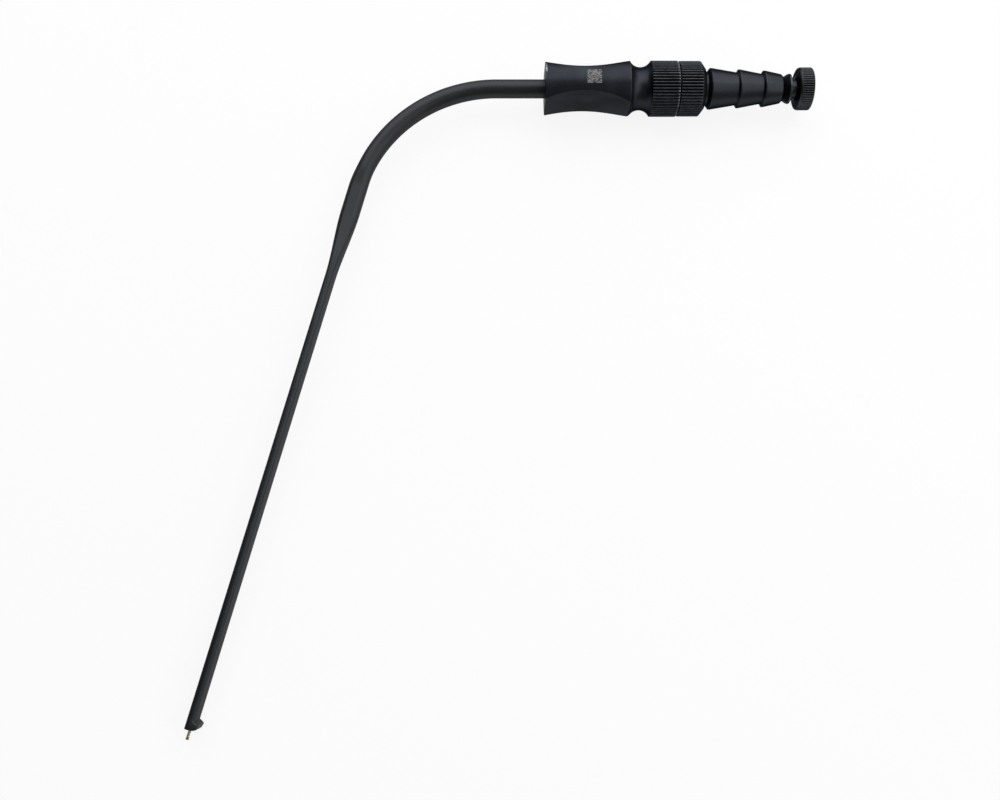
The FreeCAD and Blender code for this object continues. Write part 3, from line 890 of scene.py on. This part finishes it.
@dataclass
class StyletWire:
    """The free end of the stylet's stranded wire, in the straight blade."""

    tube: SuctionTube = field(default_factory=SuctionTube)
    radius: float = 0.42
    length: float = 30.0
    reach: float = 2.8
    strands: int = 6
    lay: float = 4.6
    step: float = 0.16
    sides: int = 10
    tinted: float = 0.9

    def build(self, maker: MeshMaker) -> bpy.types.Object:
        """Build six strands laid round a core, cut square at the tip.

        Args:
            maker: The mesh maker.

        Returns:
            The new object, one closed skin for each strand.
        """
        angle = maker.layout.leg_angle
        start, inward = self.tube.route_on_leg(angle, self.tube.leg_length - self.length)
        along = np.array([-math.cos(angle), -math.sin(angle), 0.0])
        side = np.array([0.0, 0.0, 1.0])
        total = self.length + self.reach
        stations = np.linspace(0.0, total, round(total / self.step) + 1)
        strand_radius = self.radius / 3
        points: list[np.ndarray] = []
        faces: list[list[int]] = []
        tint: list[np.ndarray] = []
        base = 0
        for strand in range(self.strands + 1):
            orbit = 0.0 if strand == 0 else 2 * strand_radius
            phase = 2 * math.pi * strand / self.strands
            thick = strand_radius * (1.0 if strand == 0 else 1.02)
            turning = phase + stations / self.lay * 2 * math.pi
            centres = (
                start + along * stations[:, None]
                + orbit * (np.cos(turning)[:, None] * inward + np.sin(turning)[:, None] * side))
            slope = orbit * 2 * math.pi / self.lay
            tangent = along + slope * (-np.sin(turning)[:, None] * inward + np.cos(turning)[:, None] * side)
            tangent /= np.linalg.norm(tangent, axis=1)[:, None]
            outward = np.cos(turning)[:, None] * inward + np.sin(turning)[:, None] * side
            across = np.cross(tangent, outward)
            across /= np.linalg.norm(across, axis=1)[:, None]
            outward = np.cross(across, tangent)
            rounds = np.linspace(0, 2 * math.pi, self.sides, endpoint=False)
            skin = (
                centres[:, None, :]
                + thick * (np.cos(rounds)[None, :, None] * outward[:, None, :]
                           + np.sin(rounds)[None, :, None] * across[:, None, :]))
            count = len(stations)
            numbers = np.arange(count * self.sides).reshape(count, self.sides) + base
            quads = np.stack(
                [numbers[:-1], np.roll(numbers, -1, axis=1)[:-1], np.roll(numbers, -1, axis=1)[1:],
                 numbers[1:]], axis=-1).reshape(-1, 4)
            faces += quads.tolist() + [numbers[0][::-1].tolist(), numbers[-1].tolist()]
            points.append(skin.reshape(-1, 3))
            heat = np.clip(1 - (total - stations) / self.tinted, 0.0, 1.0)
            tint.append(np.repeat(heat, self.sides))
            base += count * self.sides
        made = maker.from_faces("wire_end", np.concatenate(points), faces, tint=np.concatenate(tint))
        return made


class NodeBoard:
    """A short way to add and wire the nodes of one node tree."""

    def __init__(self, tree: bpy.types.NodeTree) -> None:
        """Keep the tree that is wired."""
        self.tree = tree

    def add(self, kind: str, **settings: object) -> bpy.types.Node:
        """Add a node and set its plain properties."""
        node = self.tree.nodes.new(kind)
        for name, value in settings.items():
            setattr(node, name, value)
        return node

    def link(self, start: bpy.types.NodeSocket, end: bpy.types.NodeSocket) -> None:
        """Join two sockets."""
        self.tree.links.new(start, end)

    def feed(self, socket: bpy.types.NodeSocket, value: object) -> None:
        """Give a socket a value, or the output of another node."""
        if isinstance(value, bpy.types.NodeSocket):
            self.link(value, socket)
        else:
            socket.default_value = value

    def math(
        self, operation: str, first: object, second: object = 0.0, clamp: bool = False,
    ) -> bpy.types.NodeSocket:
        """Add a Math node and return its output."""
        node = self.add("ShaderNodeMath", operation=operation, use_clamp=clamp)
        self.feed(node.inputs[0], first)
        self.feed(node.inputs[1], second)
        return node.outputs[0]

    def mix(self, factor: object, first: object, second: object) -> bpy.types.NodeSocket:
        """Mix two colours and return the result."""
        node = self.add("ShaderNodeMix", data_type="RGBA")
        self.feed(node.inputs[0], factor)
        self.feed(node.inputs[6], first)
        self.feed(node.inputs[7], second)
        return node.outputs[2]

    def span(
        self, value: object, low: float, high: float, to_low: float, to_high: float,
    ) -> bpy.types.NodeSocket:
        """Map one range of values to another, clamped, and return the result."""
        node = self.add("ShaderNodeMapRange")
        node.clamp = True
        for socket, number in zip(node.inputs, (value, low, high, to_low, to_high)):
            self.feed(socket, number)
        return node.outputs[0]


def rgba(color: Color) -> tuple[float, float, float, float]:
    """Add full opacity to a colour."""
    return (*color, 1.0)


class EffectGroups:
    """The shader node groups that several finishes share, each built once."""

    def __init__(self) -> None:
        """Build every group."""
        self.grain = self._build_grain()
        self.wear = self._build_wear_and_glint()
        self.lathe_lines = self._build_lathe_lines()

    @staticmethod
    def _group(name: str, inputs: dict[str, float], outputs: tuple[str, ...]) -> tuple[NodeBoard, dict, dict]:
        """Start a group with named number sockets.

        Args:
            name: The group's name.
            inputs: Input names with their default values.
            outputs: Output names.

        Returns:
            The board, the input sockets by name, and the output sockets by name.
        """
        tree = bpy.data.node_groups.new(name, "ShaderNodeTree")
        for label, value in inputs.items():
            socket = tree.interface.new_socket(label, in_out="INPUT", socket_type="NodeSocketFloat")
            socket.default_value = value
        for label in outputs:
            tree.interface.new_socket(label, in_out="OUTPUT", socket_type="NodeSocketFloat")
        board = NodeBoard(tree)
        entry = board.add("NodeGroupInput")
        leave = board.add("NodeGroupOutput")
        return board, {s.name: s for s in entry.outputs}, {s.name: s for s in leave.inputs}

    def _build_grain(self) -> bpy.types.NodeTree:
        """Build the coat's grain: a fine tooth and broad uneven patches."""
        board, entry, leave = self._group(
            "coat_grain", {"Fine Scale": 9000.0, "Patch Scale": 140.0}, ("Fine", "Patches"))
        place = board.add("ShaderNodeTexCoord").outputs["Object"]
        for label, scale, detail in (("Fine", "Fine Scale", 2.0), ("Patches", "Patch Scale", 4.0)):
            noise = board.add("ShaderNodeTexNoise")
            board.link(place, noise.inputs["Vector"])
            board.link(entry[scale], noise.inputs["Scale"])
            noise.inputs["Detail"].default_value = detail
            board.link(noise.outputs["Fac"], leave[label])
        return board.tree

    def _build_wear_and_glint(self) -> bpy.types.NodeTree:
        """Build the mask of wear and painted highlight: outward edges, broken up by a fine noise; the seam,
        the foot's lip and the grip's face edge carry painted highlight in it.
        """
        board, entry, leave = self._group(
            "edge_wear_and_glint", {"Amount": 0.5, "Break Up Scale": 900.0}, ("Mask",))
        place = board.add("ShaderNodeTexCoord").outputs["Object"]
        edge = board.add("ShaderNodeAttribute", attribute_name=WEAR_AND_GLINT_ATTRIBUTE).outputs["Fac"]
        noise = board.add("ShaderNodeTexNoise")
        board.link(place, noise.inputs["Vector"])
        board.link(entry["Break Up Scale"], noise.inputs["Scale"])
        broken = board.span(noise.outputs["Fac"], 0.35, 0.65, 0.25, 1.0)
        worn = board.math("MULTIPLY", board.math("MULTIPLY", edge, broken), entry["Amount"], clamp=True)
        board.link(worn, leave["Mask"])
        return board.tree

    def _build_lathe_lines(self) -> bpy.types.NodeTree:
        """Build the fine rings that turning leaves round the handle axis."""
        board, entry, leave = self._group("lathe_lines", {"Scale": 9000.0}, ("Height",))
        place = board.add("ShaderNodeTexCoord").outputs["Object"]
        split = board.add("ShaderNodeSeparateXYZ")
        board.link(place, split.inputs[0])
        noise = board.add("ShaderNodeTexNoise", noise_dimensions="1D")
        board.link(split.outputs["X"], noise.inputs["W"])
        board.link(entry["Scale"], noise.inputs["Scale"])
        noise.inputs["Detail"].default_value = 3.0
        board.link(noise.outputs["Fac"], leave["Height"])
        return board.tree


@dataclass(frozen=True)
class Mark:
    """A generic laser mark: a pale square of computed cells on the grip."""

    centre: tuple[float, float] = (13.05, 0.0)
    size: float = 3.85
    cells: int = 16
    color: Color = (0.195, 0.192, 0.184)
    roughness: float = 0.75
    filled_from: float = 0.48
    faintest: float = 0.15


@dataclass(frozen=True)
class Flats:
    """The grip's scallops, whose coat gets a brighter grazing tint than the barrel's: a painted sheen that
    makes them look more brightly lit.
    """

    inside: float = 7.2
    along: float = 22.9
    grazing: Color = (0.50, 0.49, 0.48)


@dataclass(frozen=True)
class CoatedSteel:
    """Steel with a dark satin coat."""

    name: str
    base: Color
    patch: Color
    worn: Color = (0.50, 0.51, 0.52)
    grazing: Color = (0.30, 0.30, 0.30)
    metallic: float = 1.0
    roughness: float = 0.36
    roughness_spread: float = 0.08
    wear: float = 0.035
    lathe: float = 0.0
    grain_bump: float = 0.05
    mark: Mark | None = None
    flats: Flats | None = None

    def build(self, groups: EffectGroups, layout: Layout) -> bpy.types.Material:
        """Build the material.

        Args:
            groups: The shared effect groups.
            layout: The layout, for what is placed on the grip.

        Returns:
            The new material.
        """
        material, board, shader = start_material(self.name)
        grain = board.add("ShaderNodeGroup", node_tree=groups.grain)
        worn = board.add("ShaderNodeGroup", node_tree=groups.wear)
        worn.inputs["Amount"].default_value = self.wear
        patches = board.span(grain.outputs["Patches"], 0.35, 0.65, 0.0, 1.0)
        color = board.mix(patches, rgba(self.base), rgba(self.patch))
        # Bare-metal colour where the mask is high: real wear on edges and knurl crests, painted highlight on
        # the seam, the foot's lip and the grip's face edge.
        color = board.mix(worn.outputs["Mask"], color, rgba(self.worn))
        rough = board.span(
            grain.outputs["Patches"], 0.3, 0.7, self.roughness - self.roughness_spread / 2,
            self.roughness + self.roughness_spread / 2)
        shader.inputs["Metallic"].default_value = self.metallic
        if self.mark is not None:
            marked = self._mark_mask(board, layout)
            color = board.mix(marked, color, rgba(self.mark.color))
            rough = board.span(marked, 0.0, 1.0, rough, self.mark.roughness)
            board.link(board.span(marked, 0.0, 1.0, self.metallic, 0.0), shader.inputs["Metallic"])
        board.link(color, shader.inputs["Base Color"])
        board.link(rough, shader.inputs["Roughness"])
        shader.inputs["Specular Tint"].default_value = rgba(self.grazing)
        if self.flats is not None:
            # Painted sheen: inside the flats the grazing tint is raised so the scallops look more brightly
            # lit.
            lit_flats = self._flats_mask(board, layout)
            sheen = board.mix(lit_flats, rgba(self.grazing), rgba(self.flats.grazing))
            board.link(sheen, shader.inputs["Specular Tint"])
        height = board.math("MULTIPLY", grain.outputs["Fine"], self.grain_bump)
        if self.lathe > 0:
            lines = board.add("ShaderNodeGroup", node_tree=groups.lathe_lines)
            height = board.math("ADD", height, board.math("MULTIPLY", lines.outputs["Height"], self.lathe))
        bump = board.add("ShaderNodeBump")
        bump.inputs["Strength"].default_value = 1.0
        bump.inputs["Distance"].default_value = 0.00002
        board.link(height, bump.inputs["Height"])
        board.link(bump.outputs["Normal"], shader.inputs["Normal"])
        return material

    def _flats_mask(self, board: NodeBoard, layout: Layout) -> bpy.types.NodeSocket:
        """Wire the mask of the flats that get the painted sheen: what lies inside the barrel's turned skin.
        """
        split = board.add("ShaderNodeSeparateXYZ")
        board.link(board.add("ShaderNodeTexCoord").outputs["Object"], split.inputs[0])
        across = board.math("POWER", board.math("SUBTRACT", split.outputs["Y"], layout.face.y), 2.0)
        up = board.math("POWER", board.math("SUBTRACT", split.outputs["Z"], layout.face.z), 2.0)
        out = board.math("SQRT", board.math("ADD", across, up))
        inside = board.math("LESS_THAN", out, self.flats.inside * MM)
        before = board.math("LESS_THAN", split.outputs["X"], layout.face.x + self.flats.along * MM)
        return board.math("MULTIPLY", inside, before)

    def _mark_mask(self, board: NodeBoard, layout: Layout) -> bpy.types.NodeSocket:
        """Wire the mask of the square laser mark, in the grip's own axes."""
        mark = self.mark
        split = board.add("ShaderNodeSeparateXYZ")
        board.link(board.add("ShaderNodeTexCoord").outputs["Object"], split.inputs[0])
        corner = [(middle - mark.size / 2) * MM for middle in mark.centre]
        along = board.math("SUBTRACT", split.outputs["X"], layout.face.x + corner[0])
        up = board.math("SUBTRACT", split.outputs["Y"], layout.face.y + corner[1])
        cell = mark.size * MM / mark.cells
        column = board.math("FLOOR", board.math("DIVIDE", along, cell))
        row = board.math("FLOOR", board.math("DIVIDE", up, cell))
        joined = board.add("ShaderNodeCombineXYZ")
        board.link(column, joined.inputs["X"])
        board.link(row, joined.inputs["Y"])
        noise = board.add("ShaderNodeTexWhiteNoise", noise_dimensions="2D")
        board.link(joined.outputs[0], noise.inputs["Vector"])
        filled = board.math("GREATER_THAN", noise.outputs["Value"], mark.filled_from)
        inside = board.math("GREATER_THAN", split.outputs["Z"], layout.face.z)
        for value in (column, row):
            inside = board.math("MULTIPLY", inside, board.math("GREATER_THAN", value, -0.5))
            inside = board.math("MULTIPLY", inside, board.math("LESS_THAN", value, mark.cells - 0.5))
        pale = board.span(filled, 0.0, 1.0, mark.faintest, 1.0)
        return board.math("MULTIPLY", inside, pale)


@dataclass(frozen=True)
class SealRubber:
    """Matt black sealing rubber."""

    name: str = "seal_rubber"
    base: Color = (0.0020, 0.0023, 0.0030)
    dusty: Color = (0.0040, 0.0045, 0.0055)
    roughness: float = 0.35
    sheen: float = 0.02

    def build(self, groups: EffectGroups) -> bpy.types.Material:
        """Build the material.

        Args:
            groups: The shared effect groups.

        Returns:
            The new material.
        """
        material, board, shader = start_material(self.name)
        grain = board.add("ShaderNodeGroup", node_tree=groups.grain)
        patches = board.span(grain.outputs["Patches"], 0.4, 0.7, 0.0, 1.0)
        color = board.mix(patches, rgba(self.base), rgba(self.dusty))
        board.link(color, shader.inputs["Base Color"])
        shader.inputs["Roughness"].default_value = self.roughness
        shader.inputs["Specular IOR Level"].default_value = self.sheen
        bump = board.add("ShaderNodeBump")
        bump.inputs["Distance"].default_value = 0.00003
        board.link(grain.outputs["Fine"], bump.inputs["Height"])
        board.link(bump.outputs["Normal"], shader.inputs["Normal"])
        return material


@dataclass(frozen=True)
class BareWire:
    """Bare stranded stainless wire with a heat-tinted cut end."""

    name: str = "bare_wire"
    base: Color = (0.56, 0.54, 0.48)
    tint: Color = (0.22, 0.12, 0.06)
    roughness: float = 0.3

    def build(self, groups: EffectGroups) -> bpy.types.Material:
        """Build the material.

        Args:
            groups: The shared effect groups.

        Returns:
            The new material.
        """
        material, board, shader = start_material(self.name)
        grain = board.add("ShaderNodeGroup", node_tree=groups.grain)
        heat = board.add("ShaderNodeAttribute", attribute_name=TINT_ATTRIBUTE).outputs["Fac"]
        color = board.mix(heat, rgba(self.base), rgba(self.tint))
        board.link(color, shader.inputs["Base Color"])
        shader.inputs["Metallic"].default_value = 1.0
        rough = board.span(grain.outputs["Fine"], 0.3, 0.7, self.roughness - 0.08, self.roughness + 0.1)
        board.link(rough, shader.inputs["Roughness"])
        return material


def start_material(name: str) -> tuple[bpy.types.Material, NodeBoard, bpy.types.Node]:
    """Start a material with one Principled shader.

    Args:
        name: The material's name.

    Returns:
        The material, the board for its nodes, and the shader.
    """
    material = bpy.data.materials.new(name)
    material.use_nodes = True
    board = NodeBoard(material.node_tree)
    return material, board, material.node_tree.nodes["Principled BSDF"]


@dataclass
class Finishes:
    """Every finish of the instrument, built once."""

    layout: Layout
    coats: dict[Slot, CoatedSteel] = field(default_factory=lambda: {
        Slot.SHAFT: CoatedSteel(
            "shaft_coat", base=(0.036, 0.037, 0.040), patch=(0.042, 0.043, 0.046),
            grazing=(0.56, 0.56, 0.57), roughness=0.45),
        Slot.GRIP: CoatedSteel(
            "grip_coat", base=(0.020, 0.022, 0.026), patch=(0.031, 0.034, 0.041), roughness=0.38,
            lathe=0.25, mark=Mark(), flats=Flats()),
        Slot.NOZZLE: CoatedSteel(
            "nozzle_coat", base=(0.026, 0.029, 0.034), patch=(0.030, 0.033, 0.038), roughness=0.36,
            lathe=0.3),
        Slot.KNOB: CoatedSteel(
            "knob_coat", base=(0.040, 0.043, 0.048), patch=(0.046, 0.049, 0.054), roughness=0.36,
            lathe=0.3),
    })
    made: dict[Slot, bpy.types.Material] = field(default_factory=dict)

    def build(self) -> None:
        """Build every material."""
        groups = EffectGroups()
        for slot, coat in self.coats.items():
            self.made[slot] = coat.build(groups, self.layout)
        self.made[Slot.RUBBER] = SealRubber().build(groups)
        self.made[Slot.WIRE] = BareWire().build(groups)

    def dress(self, piece: bpy.types.Object, slot: Slot) -> None:
        """Give a piece its finish, in place of whatever it had."""
        piece.data.materials.clear()
        piece.data.materials.append(self.made[slot])


@dataclass
class Instrument:
    """The whole instrument: builds every piece, puts it on its body and dresses it."""

    layout: Layout
    finishes: Finishes

    def _settle(self, piece: bpy.types.Object, body: Body, slot: Slot, *nodes: str) -> None:
        """Dress a piece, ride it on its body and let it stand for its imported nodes."""
        self.finishes.dress(piece, slot)
        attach(piece, body.value)
        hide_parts(*nodes)
        LOG.info("%s: %d faces on %s", piece.name, len(piece.data.polygons), body.value)

    def build(self) -> None:
        """Build the visible pieces and dress the inner ones."""
        maker = MeshMaker(self.layout)
        grip = Grip()
        nozzle = Nozzle(grip)
        knob = StyletKnob(nozzle)
        tube = SuctionTube()
        self._settle(tube.build(maker), Body.INSTRUMENT, Slot.SHAFT, "shaft_tube")
        self._settle(grip.build(maker), Body.INSTRUMENT, Slot.GRIP, "grip_body")
        self._settle(nozzle.build(maker), Body.INSTRUMENT, Slot.NOZZLE, "hose_nozzle")
        self._settle(knob.build(maker), Body.STYLET, Slot.KNOB, "stylet_knob")
        self._settle(knob.build_washer(maker), Body.STYLET, Slot.RUBBER, "stylet_washer")
        self._settle(StyletWire(tube).build(maker), Body.STYLET_END, Slot.WIRE, "stylet_tip")
        inner = {
            "coupling_seal": Slot.RUBBER, "stylet_ring_seal": Slot.RUBBER, "stylet_cable": Slot.WIRE,
        }
        for node, slot in inner.items():
            self.finishes.dress(frame["nodes"][node], slot)


@dataclass
class Studio:
    """The plain pale floor, soft light and camera."""

    layout: Layout
    target: tuple[float, float] = (-12.16, -86.13)
    distance: float = 260.8
    pitch: float = 9.0
    lens: float = 36.1
    sensor: float = 36.0
    floor_size: float = 6.0
    floor_glow: float = 0.88
    floor_color: Color = (0.86, 0.86, 0.86)
    bright_side: tuple[float, float, float] = (0.85, -0.3, 0.43)
    room_dark: Color = (0.02, 0.02, 0.022)
    room_bright: Color = (0.36, 0.37, 0.39)

    def frame_point(self, along: float, up: float, out: float) -> Vector:
        """Turn one point of the instrument into a point of the frame."""
        return Vector(self.layout.place(np.array([along, up, out])))

    def build_camera(self) -> None:
        """Aim the camera down on the bend's plane, tilted from the tip's side."""
        pitch = math.radians(self.pitch)
        aim = self.frame_point(self.target[0], self.target[1], 0.0)
        place = self.frame_point(
            self.target[0], self.target[1] - self.distance * math.sin(pitch),
            self.distance * math.cos(pitch))
        data = bpy.data.cameras.new("camera")
        data.lens = self.lens
        data.sensor_width = self.sensor
        data.clip_start = 0.005
        data.clip_end = 20.0
        camera = bpy.data.objects.new("camera", data)
        camera.location = place
        camera.rotation_mode = "QUATERNION"
        camera.rotation_quaternion = (aim - place).to_track_quat("-Z", "Y")
        bpy.context.scene.collection.objects.link(camera)
        bpy.context.scene.camera = camera

    def build_floor(self) -> None:
        """Lay a pale floor that the camera and reflections see as white, with the shadow kept."""
        half = self.floor_size / 2
        mesh = bpy.data.meshes.new("floor")
        corners = [(-half, -half, 0.0), (half, -half, 0.0), (half, half, 0.0), (-half, half, 0.0)]
        mesh.from_pydata(corners, [], [(0, 1, 2, 3)])
        floor = bpy.data.objects.new("floor", mesh)
        bpy.context.scene.collection.objects.link(floor)
        material = bpy.data.materials.new("pale_floor")
        material.use_nodes = True
        tree = material.node_tree
        tree.nodes.clear()
        board = NodeBoard(tree)
        matt = board.add("ShaderNodeBsdfDiffuse")
        matt.inputs["Color"].default_value = rgba(self.floor_color)
        glow = board.add("ShaderNodeEmission")
        glow.inputs["Strength"].default_value = 1.0
        path = board.add("ShaderNodeLightPath")
        seen = board.math("MAXIMUM", path.outputs["Is Camera Ray"], path.outputs["Is Glossy Ray"])
        seen = board.math("MAXIMUM", seen, path.outputs["Is Transmission Ray"])
        shader = board.add("ShaderNodeMixShader")
        board.link(board.math("MULTIPLY", seen, self.floor_glow), shader.inputs[0])
        board.link(matt.outputs[0], shader.inputs[1])
        board.link(glow.outputs[0], shader.inputs[2])
        board.link(shader.outputs[0], board.add("ShaderNodeOutputMaterial").inputs["Surface"])
        mesh.materials.append(material)

    def build_world(self) -> None:
        """Fill the room with even grey light that the camera sees as white."""
        world = bpy.data.worlds.new("room")
        world.use_nodes = True
        tree = world.node_tree
        tree.nodes.clear()
        board = NodeBoard(tree)
        path = board.add("ShaderNodeLightPath")
        around = board.add("ShaderNodeVectorMath", operation="DOT_PRODUCT")
        board.link(board.add("ShaderNodeTexCoord").outputs["Generated"], around.inputs[0])
        around.inputs[1].default_value = self.bright_side
        side = board.span(around.outputs["Value"], -1.0, 1.0, 0.0, 1.0)
        room = board.add("ShaderNodeBackground")
        board.link(board.mix(side, rgba(self.room_dark), rgba(self.room_bright)), room.inputs["Color"])
        white = board.add("ShaderNodeBackground")
        white.inputs["Color"].default_value = (1.0, 1.0, 1.0, 1.0)
        shader = board.add("ShaderNodeMixShader")
        board.link(path.outputs["Is Camera Ray"], shader.inputs[0])
        board.link(room.outputs[0], shader.inputs[1])
        board.link(white.outputs[0], shader.inputs[2])
        board.link(shader.outputs[0], board.add("ShaderNodeOutputWorld").inputs["Surface"])
        bpy.context.scene.world = world

    def add_light(
        self, name: str, place: tuple[float, float, float], size: tuple[float, float], power: float,
    ) -> None:
        """Hang one soft box that looks at the middle of the instrument.

        Args:
            name: The light's name.
            place: Its place in the instrument's axes, in millimetres.
            size: Its width and height in metres.
            power: Its power in watts.
        """
        data = bpy.data.lights.new(name, "AREA")
        data.shape = "RECTANGLE"
        data.size, data.size_y = size
        data.energy = power
        light = bpy.data.objects.new(name, data)
        light.location = self.frame_point(*place)
        aim = self.frame_point(self.target[0], self.target[1], 0.0)
        light.rotation_mode = "QUATERNION"
        light.rotation_quaternion = (aim - light.location).to_track_quat("-Z", "Y")
        bpy.context.scene.collection.objects.link(light)

    def build(self) -> None:
        """Build the camera, the floor, the room and the lights."""
        self.build_camera()
        self.build_floor()
        self.build_world()
        self.add_light("window_back", (0.0, 420.0, 380.0), (1.0, 0.84), 5.6)
        self.add_light("window_right", (480.0, -60.0, 300.0), (0.6, 0.8), 2.0)
        bpy.context.scene.view_settings.view_transform = "Standard"


def main() -> None:
    """Build the studio and the instrument, and report each piece."""
    logging.basicConfig(level=logging.INFO, format="%(message)s")
    layout = Layout.from_frame()
    LOG.info("handle at %s, roll %.3f degrees", tuple(layout.face), math.degrees(layout.roll))
    Studio(layout).build()
    finishes = Finishes(layout)
    finishes.build()
    Instrument(layout, finishes).build()


if __name__ == "__main__":
    main()
